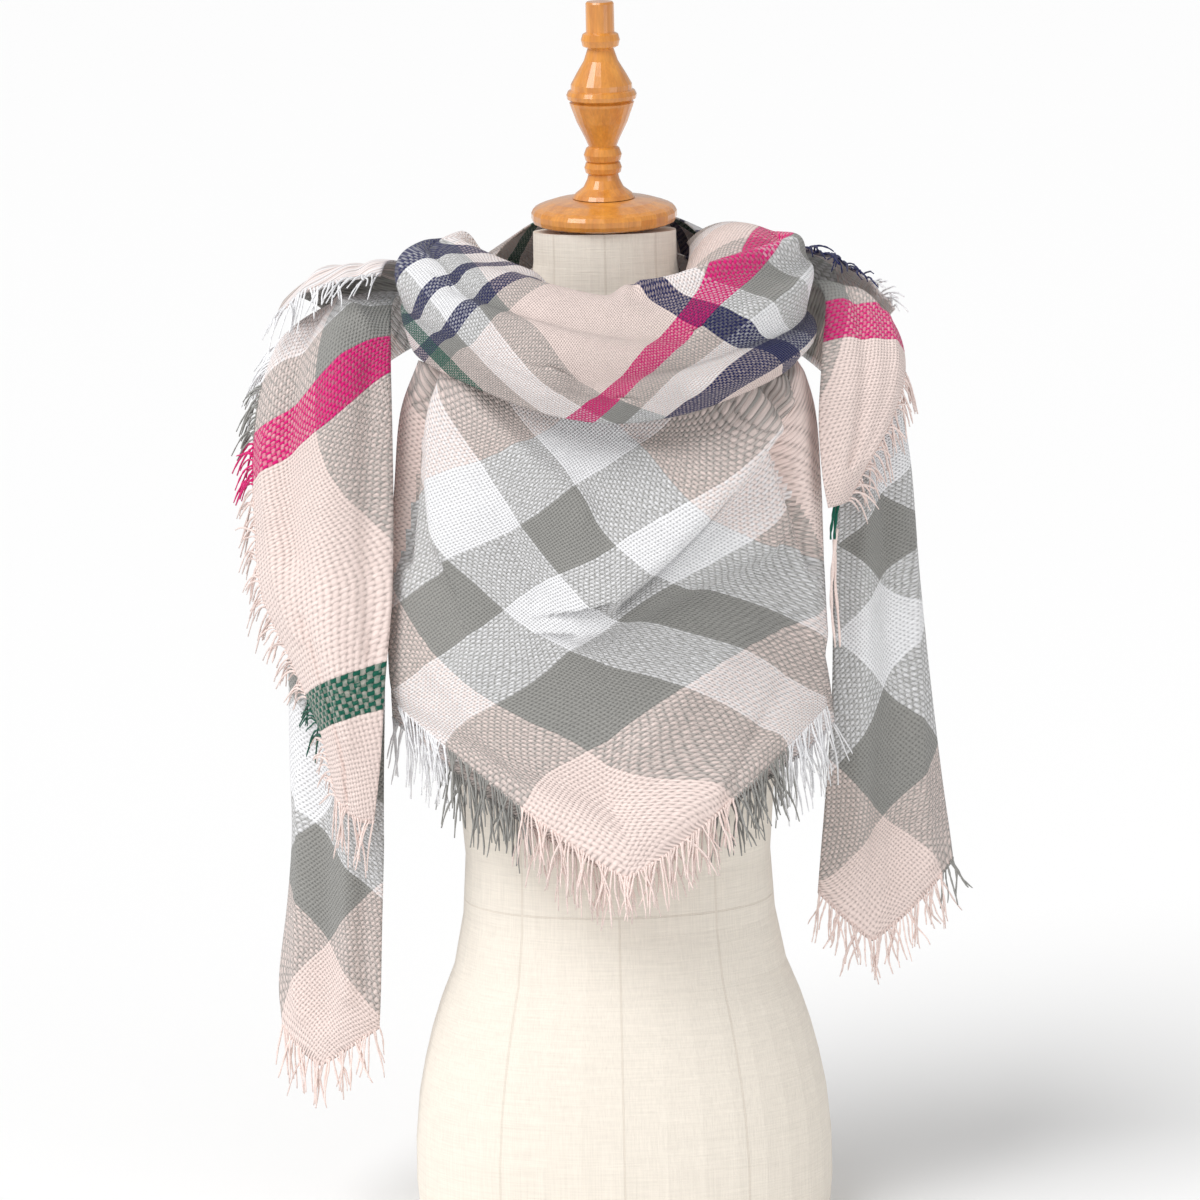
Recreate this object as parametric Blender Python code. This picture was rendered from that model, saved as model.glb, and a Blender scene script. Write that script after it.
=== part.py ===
"""A square blanket scarf worn on a limbless dress form.

The cloth is one fringed square, folded to a triangle. Its point hangs over the chest, its long fold is a
loose roll round the throat, and its two ends cross at the nape and hang from the shoulders. Each stretch
that shows is a wall of cloth of its own, lofted through the sections of a short table.

+Z is up, -Y is the front and +X is the viewer's right. The origin is under the middle of the form, in the
plane of its flat underside. The tables are in millimetres.
"""

import math
from collections import namedtuple

import bmesh
import bpy
from mathutils import Matrix, Vector

MM = 0.001

# Driving sizes, in millimetres
CLOTH_WALL = 2.4
FRINGE_WALL = 1.6
FRINGE_REACH = 27
FRINGE_SAG = 0.45
SEAM_GAP = 0.9
FULLNESS = 2.5
FOLD_STEPS = 6
CAP_RADIUS = 56
CAP_TILT = math.radians(6)
NECK_TOP = 783
FORM_SIDES = 36
FORM_RINGS = 26
TURNED_SIDES = 24

# The form's sections: half its width, and how far it reaches forward and back
FormSection = namedtuple("FormSection", "z half_width front back")
FORM = (
    FormSection(0, 163, 112, 118),
    FormSection(45, 166, 115, 121),
    FormSection(100, 162, 112, 118),
    FormSection(140, 154, 107, 112),
    FormSection(175, 144, 101, 104),
    FormSection(215, 129, 94, 92),
    FormSection(280, 120, 90, 80),
    FormSection(350, 124, 95, 78),
    FormSection(430, 132, 104, 83),
    FormSection(500, 137, 108, 88),
    FormSection(560, 138, 101, 90),
    FormSection(610, 136, 88, 88),
    FormSection(645, 130, 77, 82),
    FormSection(672, 116, 68, 73),
    FormSection(692, 96, 60, 63),
    FormSection(708, 78, 54, 55),
    FormSection(726, 63, 51, 50),
    FormSection(750, 56, 51, 49),
    FormSection(783, 55, 52, 50),
)
FORM_SQUARENESS = 2.2

# Half-profiles of the turned wood: radius, and height above the top of the neck
TurnedRing = namedtuple("TurnedRing", "radius height")
CAP_PROFILE = (
    TurnedRing(52, 0.6),
    TurnedRing(55, 2),
    TurnedRing(56, 5),
    TurnedRing(56, 9),
    TurnedRing(54.5, 12),
    TurnedRing(51, 14),
    TurnedRing(40, 17.5),
    TurnedRing(25, 19.5),
)
FINIAL_PROFILE = (
    TurnedRing(24, 20),
    TurnedRing(22, 23),
    TurnedRing(15.5, 28),
    TurnedRing(12.5, 34),
    TurnedRing(11.5, 38),
    TurnedRing(13.6, 39.5),
    TurnedRing(14.4, 43),
    TurnedRing(13.2, 46.8),
    TurnedRing(12, 47.6),
    TurnedRing(13.4, 48.6),
    TurnedRing(14.6, 53),
    TurnedRing(12.8, 58),
    TurnedRing(10.8, 59.5),
    TurnedRing(13.5, 66),
    TurnedRing(19.5, 78),
    TurnedRing(24.3, 91),
    TurnedRing(24.8, 93),
    TurnedRing(23.2, 94.2),
    TurnedRing(26.4, 96),
    TurnedRing(26.9, 99),
    TurnedRing(25.6, 102),
    TurnedRing(23.6, 103),
    TurnedRing(23.4, 107),
    TurnedRing(19, 115),
    TurnedRing(13, 125),
    TurnedRing(10, 134),
    TurnedRing(13.8, 136),
    TurnedRing(14.9, 140.5),
    TurnedRing(13.6, 145),
    TurnedRing(10.9, 146.5),
    TurnedRing(10.8, 168),
    TurnedRing(9.8, 169.5),
)

# A hanging stretch runs down its rows. Each row gives the section's left and right ends as seen from
# outside, how far its middle bows outward, how far that middle hangs below the ends, and where across the
# section its lowest point is.
Section = namedtuple("Section", "lx ly lz rx ry rz bow drop tip")
BIB_FRONT = (
    Section(-144, -42, 690, 144, -42, 684, 84, 26, 0.50),
    Section(-159, -42, 650, 156, -42, 646, 92, 28, 0.50),
    Section(-165, -46, 595, 160, -46, 592, 96, 26, 0.50),
    Section(-170, -50, 535, 161, -50, 532, 94, 24, 0.50),
    Section(-173, -54, 480, 162, -54, 474, 90, 40, 0.50),
    Section(-172, -58, 442, 163, -58, 436, 84, 82, 0.52),
    Section(-166, -62, 424, 163, -62, 416, 76, 132, 0.53),
)
BIB_UNDER = (
    Section(-138, -34, 640, 136, -34, 636, 84, 24, 0.50),
    Section(-155, -38, 560, 147, -38, 556, 85, 22, 0.50),
    Section(-166, -40, 490, 158, -40, 484, 84, 32, 0.50),
    Section(-172, -42, 446, 166, -42, 438, 80, 66, 0.48),
    Section(-172, -44, 412, 170, -44, 400, 74, 104, 0.46),
)
LEFT_SHOULDER_LAYER = (
    Section(-204, 96, 700, -140, 82, 738, 8, 0, 0.5),
    Section(-230, 52, 728, -158, 42, 758, 9, 0, 0.5),
    Section(-246, 14, 736, -168, 6, 762, 9, 0, 0.5),
    Section(-254, -16, 724, -172, -20, 754, 8, 0, 0.5),
)
LEFT_TAIL_FLAP = (
    Section(-200, 104, 652, -128, 94, 696, 10, 0, 0.5),
    Section(-228, 52, 700, -152, 44, 732, 10, 0, 0.5),
    Section(-250, 4, 706, -164, -4, 732, 12, 0, 0.5),
    Section(-266, -22, 672, -164, -56, 698, 20, 0, 0.5),
    Section(-275, -18, 622, -164, -68, 640, 25, 0, 0.5),
    Section(-276, -14, 562, -165, -70, 575, 26, 0, 0.5),
    Section(-272, -18, 508, -168, -72, 508, 24, 0, 0.5),
    Section(-250, -34, 458, -175, -74, 446, 18, 0, 0.5),
    Section(-228, -50, 404, -180, -76, 388, 12, 0, 0.5),
    Section(-217, -56, 356, -187, -72, 336, 8, 4, 0.6),
)
LEFT_TAIL_LONG = (
    Section(-254, 34, 612, -172, -38, 612, 12, 0, 0.5),
    Section(-256, 32, 520, -174, -42, 520, 14, 0, 0.5),
    Section(-257, 30, 440, -177, -44, 440, 16, 0, 0.5),
    Section(-258, 26, 370, -180, -44, 366, 17, 0, 0.5),
    Section(-258, 22, 310, -182, -44, 306, 17, 0, 0.5),
    Section(-263, 16, 256, -185, -42, 248, 16, 0, 0.5),
    Section(-271, 8, 196, -188, -38, 190, 14, 0, 0.5),
    Section(-269, 0, 158, -190, -34, 164, 12, 28, 0.45),
)
RIGHT_SHOULDER_LAYER = (
    Section(124, 106, 704, 196, 116, 640, 9, 0, 0.5),
    Section(146, 72, 752, 220, 78, 698, 10, 0, 0.5),
    Section(152, 36, 764, 226, 40, 714, 9, 0, 0.5),
)
RIGHT_TAIL_FLAP = (
    Section(130, 98, 688, 190, 106, 638, 8, 0, 0.5),
    Section(152, 46, 736, 214, 52, 696, 9, 0, 0.5),
    Section(168, -6, 730, 226, 4, 698, 12, 0, 0.5),
    Section(163, -58, 690, 229, -20, 670, 18, 0, 0.5),
    Section(159, -72, 642, 217, -40, 636, 15, 0, 0.5),
    Section(161, -76, 600, 196, -58, 602, 8, 0, 0.5),
    Section(165, -76, 574, 182, -66, 578, 3, 0, 0.5),
)
RIGHT_TAIL_LONG = (
    Section(170, -26, 656, 226, 38, 652, 16, 0, 0.5),
    Section(172, -34, 592, 236, 36, 596, 18, 0, 0.5),
    Section(170, -38, 505, 242, 32, 510, 19, 0, 0.5),
    Section(168, -38, 420, 249, 28, 428, 18, 0, 0.5),
    Section(162, -38, 344, 257, 22, 350, 16, 0, 0.5),
    Section(157, -38, 290, 263, 14, 300, 14, 0, 0.5),
    Section(155, -36, 266, 265, 8, 280, 12, 46, 0.35),
)
RIGHT_STRAND = (
    Section(167, -60, 584, 173, -58, 584, 2, 0, 0.5),
    Section(167, -61, 545, 172, -59, 545, 2, 0, 0.5),
    Section(166, -61, 500, 172, -59, 500, 2, 0, 0.5),
    Section(167, -61, 462, 171, -60, 462, 2, 0, 0.5),
)

# A roll runs round the neck. Each row gives its turn from the front in degrees, the edge next to the neck,
# the edge tucked under outside, and how far the roll stands out between them.
Roll = namedtuple("Roll", "turn neck_r neck_z tuck_r tuck_z bow")
COWL_FRONT = (
    Roll(-104, 80, 738, 140, 712, 54),
    Roll(-88, 80, 734, 148, 704, 60),
    Roll(-65, 76, 728, 155, 694, 64),
    Roll(-42, 72, 720, 157, 680, 65),
    Roll(-20, 68, 712, 156, 662, 65),
    Roll(0, 66, 707, 155, 652, 64),
    Roll(20, 66, 708, 155, 656, 61),
    Roll(42, 68, 722, 157, 670, 60),
    Roll(65, 67, 748, 155, 684, 54),
    Roll(88, 66, 766, 148, 698, 50),
    Roll(104, 66, 770, 140, 704, 46),
)
NAPE_UNDER = (
    Roll(92, 82, 750, 126, 716, 6),
    Roll(105, 76, 754, 138, 684, 8),
    Roll(130, 66, 762, 134, 640, 8),
    Roll(155, 62, 768, 120, 596, 6),
    Roll(180, 62, 768, 112, 588, 6),
    Roll(210, 64, 762, 116, 630, 6),
    Roll(238, 72, 748, 126, 690, 6),
)
NAPE_OVER = (
    Roll(98, 80, 768, 130, 718, 16),
    Roll(125, 73, 786, 146, 676, 20),
    Roll(150, 70, 790, 138, 634, 22),
    Roll(180, 70, 792, 128, 600, 22),
    Roll(205, 72, 790, 136, 602, 22),
    Roll(230, 76, 784, 145, 642, 20),
    Roll(248, 90, 764, 141, 696, 14),
    Roll(258, 97, 742, 126, 722, 7),
)

# The largest folds. Each runs from a start past a middle to an end, as shares of the stretch down (or round)
# and across, with its width in millimetres before and after its line, and its height: a trough is negative.
Fold = namedtuple("Fold", "s0 t0 sm tm s1 t1 before after height")
BIB_FOLDS = (
    Fold(-0.05, 0.12, 0.16, 0.10, 0.42, 0.15, 16, 42, 11),
    Fold(0.08, 0.90, 0.26, 0.84, 0.45, 0.50, 42, 17, 14),
    Fold(0.05, 0.97, 0.35, 0.94, 0.66, 0.97, 16, 16, 9),
    Fold(0.42, 0.86, 0.46, 0.66, 0.54, 0.44, 30, 16, 8),
    Fold(0.52, 0.20, 0.66, 0.34, 0.80, 0.48, 26, 26, -5),
)
COWL_FOLDS = (
    Fold(0.54, 0.36, 0.72, 0.40, 0.98, 0.58, 13, 13, -10),
    Fold(0.02, 0.62, 0.20, 0.70, 0.42, 0.86, 18, 18, -8),
    Fold(0.00, 0.34, 0.16, 0.30, 0.34, 0.26, 16, 12, -7),
    Fold(0.46, 0.78, 0.66, 0.72, 0.92, 0.80, 20, 14, 6),
)
NAPE_FOLDS = (
    Fold(0.05, 0.30, 0.40, 0.42, 0.80, 0.62, 16, 16, 6),
    Fold(0.15, 0.68, 0.50, 0.74, 0.86, 0.92, 14, 14, 5),
)
LEFT_FLAP_FOLDS = (
    Fold(0.24, 0.34, 0.40, 0.30, 0.60, 0.36, 16, 16, -8),
    Fold(0.28, 0.70, 0.50, 0.66, 0.86, 0.60, 20, 20, 7),
)
TAIL_FOLDS = (
    Fold(0.0, 0.42, 0.40, 0.46, 0.90, 0.52, 16, 16, -6),
)

CLOTH_PINK = (0.80, 0.66, 0.62)
CLOTH_PALE = (0.84, 0.80, 0.78)
CLOTH_GREY = (0.42, 0.41, 0.40)
CLOTH_TAUPE = (0.58, 0.52, 0.50)
LINEN = (0.76, 0.70, 0.62)
HONEY_WOOD = (0.62, 0.30, 0.09)


def remove_everything():
    for thing in list(bpy.data.objects):
        bpy.data.objects.remove(thing, do_unlink=True)


def material(name, colour, roughness):
    made = bpy.data.materials.new(name)
    made.use_nodes = True
    shader = made.node_tree.nodes["Principled BSDF"]
    shader.inputs["Base Color"].default_value = (*colour, 1)
    shader.inputs["Roughness"].default_value = roughness
    shader.inputs["Metallic"].default_value = 0
    return made


def add_object(name, mesh, made_of):
    thing = bpy.data.objects.new(name, mesh)
    bpy.context.scene.collection.objects.link(thing)
    mesh.materials.append(made_of)
    mesh.shade_smooth()
    return thing


def spline(before, start, end, after, k):
    """Catmull-Rom value a share k of the way from start to end."""
    slope_in = (end - before) / 2
    slope_out = (after - start) / 2
    change = end - start
    cubic = slope_in + slope_out - 2 * change
    square = 3 * change - 2 * slope_in - slope_out
    return start + k * (slope_in + k * (square + k * cubic))


def row_at(rows, s):
    """The table's row a share s of the way along, each column smoothed through its rows."""
    place = min(max(s, 0), 1) * (len(rows) - 1)
    i = min(int(place), len(rows) - 2)
    start, end = rows[i], rows[i + 1]
    before = rows[i - 1] if i else [2 * a - b for a, b in zip(start, end)]
    after = rows[i + 2] if i + 2 < len(rows) else [2 * b - a for a, b in zip(start, end)]
    values = [spline(*four, place - i) for four in zip(before, start, end, after)]
    return type(start)(*values)


def hanging_ends(rows, s):
    row = row_at(rows, s)
    return Vector((row.lx, row.ly, row.lz)), Vector((row.rx, row.ry, row.rz))


def hanging_point(rows, s, t):
    """A point of a hanging stretch, s down its rows and t across from its left end to its right."""
    row = row_at(rows, s)
    left, right = hanging_ends(rows, s)
    low = min(s + 0.02, 1)
    high = low - 0.04 if low == 1 else max(s - 0.02, 0)
    run = sum(hanging_ends(rows, low), Vector()) - sum(hanging_ends(rows, high), Vector())
    outward = run.cross(right - left).normalized()
    from_tip = (row.tip - t) / row.tip if t < row.tip else (t - row.tip) / (1 - row.tip)
    middle = abs(2 * t - 1) ** FULLNESS
    point = left.lerp(right, t) + outward * row.bow * (1 - middle)
    return point + run.normalized() * row.drop * (1 - from_tip**1.2)


def round_the_neck(row, across, out):
    """A point at the row's turn: across from its first edge to its second, then out and up from them."""
    turn = math.radians(row.turn)
    run_r, run_z = row.tuck_r - row.neck_r, row.tuck_z - row.neck_z
    run = math.hypot(run_r, run_z)
    radius = row.neck_r + run_r * across - run_z / run * out
    height = row.neck_z + run_z * across + run_r / run * out
    return Vector((radius * math.sin(turn), -radius * math.cos(turn), height))


def roll_point(rows, s, t):
    """A point of a full roll: s round the neck, and t from the neck edge over the top to the tucked edge."""
    row = row_at(rows, s)
    return round_the_neck(row, (1 - math.cos(math.pi * t)) / 2, row.bow * math.sin(math.pi * t))


def collar_point(rows, s, t):
    """A point of a stretch that stands round the nape: s round the neck, and t from its top edge down."""
    row = row_at(rows, s)
    return round_the_neck(row, t, row.bow * (1 - abs(2 * t - 1) ** FULLNESS))


def relief(folds, size, s, t):
    """How far the folds raise a point of a stretch of the given size, in millimetres."""
    height = 0.0
    here = Vector((s * size[0], t * size[1]))
    for fold in folds:
        path = []
        for i in range(FOLD_STEPS + 1):
            k = i / FOLD_STEPS
            at_s = (1 - k) ** 2 * fold.s0 + 2 * k * (1 - k) * fold.sm + k * k * fold.s1
            at_t = (1 - k) ** 2 * fold.t0 + 2 * k * (1 - k) * fold.tm + k * k * fold.t1
            path.append(Vector((at_s * size[0], at_t * size[1])))
        best = None
        for start, end in zip(path, path[1:]):
            run = end - start
            share = min(max((here - start).dot(run) / run.length_squared, 0), 1)
            off = here - start - run * share
            if best is None or off.length < best[0]:
                best = (off.length, run.x * off.y - run.y * off.x)
        width = fold.after if best[1] > 0 else fold.before
        height += fold.height * math.exp(-((best[0] / width) ** 2))
    return height


def folded(surface, rows, folds=()):
    """The stretch as a function of its shares down and across, with its folds raised along its normals."""
    middle = [surface(rows, i / 8, 0.5) for i in range(9)]
    breadth = [surface(rows, 0.5, i / 8) for i in range(9)]
    size = [sum((b - a).length for a, b in zip(line, line[1:])) for line in (middle, breadth)]

    def point(s, t):
        base = surface(rows, s, t)
        if not folds:
            return base
        down = surface(rows, min(s + 0.01, 1), t) - surface(rows, max(s - 0.01, 0), t)
        across = surface(rows, s, min(t + 0.01, 1)) - surface(rows, s, max(t - 0.01, 0))
        return base + down.cross(across).normalized() * relief(folds, size, s, t)

    return point


def sheet_mesh(name, grid):
    """A mesh of quads through a grid of points in millimetres, its faces outward."""
    shape = bmesh.new()
    corners = [[shape.verts.new(p * MM) for p in line] for line in grid]
    for upper, lower in zip(corners, corners[1:]):
        for i in range(len(upper) - 1):
            shape.faces.new((upper[i], lower[i], lower[i + 1], upper[i + 1]))
    mesh = bpy.data.meshes.new(name)
    shape.to_mesh(mesh)
    shape.free()
    return mesh


def wall(name, grid, thickness, made_of):
    """A sheet thickened inward from its outer face."""
    thing = add_object(name, sheet_mesh(name, grid), made_of)
    solid = thing.modifiers.new("wall", "SOLIDIFY")
    solid.thickness = thickness * MM
    solid.offset = -1
    return thing


def cloth(name, stretch, down, across, made_of):
    grid = [[stretch(i / down, j / across) for j in range(across + 1)] for i in range(down + 1)]
    return wall(name, grid, CLOTH_WALL, made_of)


def fringe(name, stretch, made_of, edge="hem", start=0.0, end=1.0, steps=14):
    """The reach of the fringe past one edge of a stretch, between two shares of that edge."""
    inner, outer = [], []
    for i in range(steps + 1):
        k = start + (end - start) * i / steps
        at, inside = {
            "hem": ((1.0, k), (0.94, k)),
            "left": ((k, 0.0), (k, 0.06)),
            "right": ((k, 1.0), (k, 0.94)),
        }[edge]
        rim = stretch(*at)
        away = (rim - stretch(*inside)).normalized()
        hang = (away + Vector((0, 0, -FRINGE_SAG))).normalized()
        inner.append(rim + away * SEAM_GAP)
        outer.append(inner[-1] + hang * FRINGE_REACH)
    along = [inner, outer] if edge == "hem" else [list(pair) for pair in zip(inner, outer)]
    if edge == "left":
        along = [line[::-1] for line in along]
    return wall(name, along, FRINGE_WALL, made_of)


def smooth_form_ring(row, count):
    """A ring of the form: a soft superellipse, deeper or flatter behind than in front."""
    ring = []
    for i in range(count):
        turn = 2 * math.pi * i / count
        c, s = math.cos(turn), math.sin(turn)
        power = 2 / FORM_SQUARENESS
        x = math.copysign(abs(c) ** power, c) * row.half_width
        depth = row.back if s > 0 else row.front
        ring.append(Vector((x, math.copysign(abs(s) ** power, s) * depth, row.z)))
    return ring


def closed_rings(name, rings, made_of):
    """A closed body through rings of points in millimetres, bottom to top, with flat ends."""
    shape = bmesh.new()
    loops = [[shape.verts.new(p * MM) for p in ring] for ring in rings]
    count = len(loops[0])
    for low, high in zip(loops, loops[1:]):
        for i in range(count):
            j = (i + 1) % count
            shape.faces.new((low[i], low[j], high[j], high[i]))
    shape.faces.new(loops[0][::-1])
    shape.faces.new(loops[-1])
    mesh = bpy.data.meshes.new(name)
    shape.to_mesh(mesh)
    shape.free()
    thing = add_object(name, mesh, made_of)
    mesh.set_sharp_from_angle(angle=math.radians(50))
    return thing


def dress_form(linen):
    rows = [row_at(FORM, i / FORM_RINGS) for i in range(FORM_RINGS + 1)]
    return closed_rings("form_torso", [smooth_form_ring(row, FORM_SIDES) for row in rows], linen)


def turned(name, profile, wood):
    """A turned piece on the neck's axis, which leans forward a little."""
    lean = Matrix.Rotation(CAP_TILT, 4, "X")
    foot = Vector((0, -2, NECK_TOP + CAP_RADIUS * math.sin(CAP_TILT)))
    rings = []
    for ring in profile:
        points = []
        for i in range(TURNED_SIDES):
            turn = 2 * math.pi * i / TURNED_SIDES
            points.append(Vector((ring.radius * math.cos(turn), ring.radius * math.sin(turn), ring.height)))
        rings.append([foot + lean @ p for p in points])
    return closed_rings(name, rings, wood)


def build():
    remove_everything()
    pink = material("pink cloth", CLOTH_PINK, 0.95)
    pale = material("pale cloth", CLOTH_PALE, 0.95)
    grey = material("grey cloth", CLOTH_GREY, 0.95)
    taupe = material("taupe cloth", CLOTH_TAUPE, 0.95)
    linen = material("linen", LINEN, 0.9)
    wood = material("honey wood", HONEY_WOOD, 0.35)

    dress_form(linen)
    turned("neck_cap", CAP_PROFILE, wood)
    turned("finial", FINIAL_PROFILE, wood)

    bib_front = folded(hanging_point, BIB_FRONT, BIB_FOLDS)
    bib_under = folded(hanging_point, BIB_UNDER)
    nape_under = folded(collar_point, NAPE_UNDER)
    nape_over = folded(collar_point, NAPE_OVER, NAPE_FOLDS)
    left_layer = folded(hanging_point, LEFT_SHOULDER_LAYER)
    left_flap = folded(hanging_point, LEFT_TAIL_FLAP, LEFT_FLAP_FOLDS)
    left_long = folded(hanging_point, LEFT_TAIL_LONG, TAIL_FOLDS)
    right_layer = folded(hanging_point, RIGHT_SHOULDER_LAYER)
    right_flap = folded(hanging_point, RIGHT_TAIL_FLAP)
    right_long = folded(hanging_point, RIGHT_TAIL_LONG, TAIL_FOLDS)

    cloth("bib_front", bib_front, 24, 24, grey)
    cloth("bib_under", bib_under, 10, 16, pale)
    cloth("cowl_front", folded(roll_point, COWL_FRONT, COWL_FOLDS), 28, 14, taupe)
    cloth("nape_under", nape_under, 14, 6, pale)
    cloth("nape_over", nape_over, 16, 10, pink)
    cloth("left_shoulder_layer", left_layer, 6, 6, pale)
    cloth("left_tail_flap", left_flap, 18, 9, pink)
    cloth("left_tail_long", left_long, 14, 7, grey)
    cloth("right_shoulder_layer", right_layer, 6, 6, pale)
    cloth("right_tail_flap", right_flap, 12, 7, pink)
    cloth("right_tail_long", right_long, 14, 7, grey)
    cloth("right_strand", folded(hanging_point, RIGHT_STRAND), 6, 2, pink)

    fringe("fringe_bib_front", bib_front, pink, steps=24)
    fringe("fringe_bib_under", bib_under, pale, steps=16)
    fringe("fringe_left_shoulder", left_layer, pale, steps=6)
    fringe("fringe_left_flap_side", left_flap, pink, "left", 0.34, 1.0)
    fringe("fringe_left_flap_hem", left_flap, pale, steps=9)
    fringe("fringe_left_long", left_long, pink, steps=7)
    fringe("fringe_right_shoulder", right_layer, pale, steps=6)
    fringe("fringe_right_flap_side", right_flap, pink, "right", 0.5, 1.0, 8)
    fringe("fringe_right_long", right_long, pink, steps=7)
    fringe("fringe_nape_over", nape_over, pink, "right", 0.22, 0.8, 14)
    fringe("fringe_nape_under", nape_under, pale, "right", 0.22, 0.78, 12)


build()
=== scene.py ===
"""A square plaid blanket scarf, folded corner to corner, worn round a limbless linen dress form.

Tables are in millimetres, from the middle of the form's flat underside, +Z up and the front towards -Y.
"""

import math
from collections import namedtuple

import bpy
import numpy as np
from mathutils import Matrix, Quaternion, Vector


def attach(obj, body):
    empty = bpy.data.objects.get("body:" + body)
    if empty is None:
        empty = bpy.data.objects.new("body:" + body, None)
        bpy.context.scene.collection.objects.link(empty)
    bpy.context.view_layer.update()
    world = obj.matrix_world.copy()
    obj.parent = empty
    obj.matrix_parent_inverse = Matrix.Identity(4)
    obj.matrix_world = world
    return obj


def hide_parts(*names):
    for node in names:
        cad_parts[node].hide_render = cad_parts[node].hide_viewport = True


MM = 0.001
CUT = 1400  # each side of the square cloth
CLOTH_WALL = 1.5  # the cloth's thickness
BLOCK = 64  # a broad stripe of the plaid
PITCH = 2.7  # from one thread of the weave to the next
YARN_WANDER = 2.2  # how far the threads stray from straight
THREAD_CURVE = 5.2  # how steeply a thread falls away at its sides
YARN_BLEND = 0.32  # share of the crossing yarn's colour that shows on top of a thread
ACCENTS = ("green", "magenta", "navy")
ACCENT_COVER = 0.36  # how much more of a crossing an accent yarn covers
FULLNESS = 2.5  # the power of a bowed section's curve: higher is squarer
RUN_STEP = 0.02  # share of a stretch's length over which its direction is taken
FOLD_STEPS = 10  # straight runs along a fold's curve
HEM_STEPS, SIDE_STEPS = 20, 14  # parts of a stretch, one of which gives the direction of its fringe
FAR = 1e9
FRINGE_REACH = 27
ROOT = 3  # how far inside the edge a strand starts
STRAND_SPACING = 2.7
STRAND_RADIUS = 0.82
LOOSE_RADIUS = 1.3
STRAND_TAPER = 0.45
STRAND_PLY = 0.28  # how far the two twisted plies stand out
STRAND_SIDES = 6
STRAND_RINGS = 10
STRAND_SEED = 5
CROSSWISE = (0.31, 0.87, 0.38)  # a direction that no strand follows
LINEN_SEAMS = 8
# In metres, as the linen's own coordinates are.
LINEN_SEAM_HALF, WAIST_SEAM_HALF, WAIST_HEIGHT = 0.0008, 0.0007, 0.262
FLOOR_HALF = 400  # metres, so that the floor's edge stays out of sight
WORLD_LIGHT, SUN_LIGHT, FILL_WATTS = 0.56, 2.1, 7

YARNS = {
    "pink": (250, 230, 223),
    "grey": (157, 156, 152),
    "white": (252, 252, 254),
    "green": (24, 96, 78),
    "magenta": (226, 24, 122),
    "navy": (28, 33, 88),
}
# Each stripe of the sett: where it ends from the cut edge, and its yarn.
NEAR_EDGE = [
    (64, "pink"), (128, "grey"), (192, "white"), (256, "grey"), (320, "white"), (384, "pink"), (409, "green"),
]
WARP = NEAR_EDGE + [
    (440, "grey"), (475, "white"), (505, "grey"), (640, "pink"), (668, "navy"), (700, "white"), (740, "grey"),
    (775, "white"), (805, "grey"), (860, "pink"), (890, "white"), (1400, "grey"),
]
WEFT = NEAR_EDGE + [
    (545, "pink"), (575, "magenta"), (612, "grey"), (648, "white"), (680, "navy"), (742, "white"),
    (762, "navy"), (793, "white"), (813, "navy"), (852, "white"), (874, "navy"), (900, "grey"),
    (1070, "pink"), (1100, "magenta"), (1137, "grey"), (1173, "white"), (1205, "navy"), (1250, "pink"),
    (1400, "grey"),
]

# Hanging stretches: each row's left end and right end, how far its middle bows out, how far its lowest point
# drops, and that point's share of the way across.
Section = namedtuple("Section", "lx ly lz rx ry rz bow drop tip")
BIB_FRONT = [
    (-144, -42, 690, 144, -42, 684, 84, 26, 0.50),
    (-159, -42, 650, 156, -42, 646, 92, 28, 0.50),
    (-165, -46, 595, 160, -46, 592, 96, 26, 0.50),
    (-170, -50, 535, 161, -50, 532, 94, 24, 0.50),
    (-173, -54, 480, 162, -54, 474, 90, 40, 0.50),
    (-172, -58, 442, 163, -58, 436, 84, 82, 0.48),
    (-166, -62, 424, 163, -62, 416, 76, 134, 0.45),
]
BIB_UNDER = [
    (-138, -34, 640, 136, -34, 636, 84, 24, 0.50),
    (-155, -38, 560, 147, -38, 556, 85, 22, 0.50),
    (-166, -40, 490, 158, -40, 484, 84, 32, 0.50),
    (-172, -42, 446, 166, -42, 438, 80, 66, 0.48),
    (-172, -44, 412, 170, -44, 400, 74, 104, 0.46),
]
LEFT_SHOULDER_LAYER = [
    (-204, 96, 700, -140, 82, 738, 8, 0, 0.5),
    (-230, 52, 728, -158, 42, 758, 9, 0, 0.5),
    (-246, 14, 736, -168, 6, 762, 9, 0, 0.5),
    (-254, -16, 724, -172, -20, 754, 8, 0, 0.5),
]
LEFT_TAIL_FLAP = [
    (-200, 104, 652, -128, 94, 696, 10, 0, 0.5),
    (-228, 52, 700, -152, 44, 732, 10, 0, 0.5),
    (-250, 4, 706, -164, -4, 732, 12, 0, 0.5),
    (-266, -22, 672, -164, -56, 698, 20, 0, 0.5),
    (-275, -18, 622, -164, -68, 640, 25, 0, 0.5),
    (-276, -14, 562, -165, -70, 575, 26, 0, 0.5),
    (-272, -18, 508, -168, -72, 508, 24, 0, 0.5),
    (-250, -34, 458, -175, -74, 446, 18, 0, 0.5),
    (-228, -50, 404, -180, -76, 388, 12, 0, 0.5),
    (-217, -56, 356, -187, -72, 336, 8, 4, 0.6),
]
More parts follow.
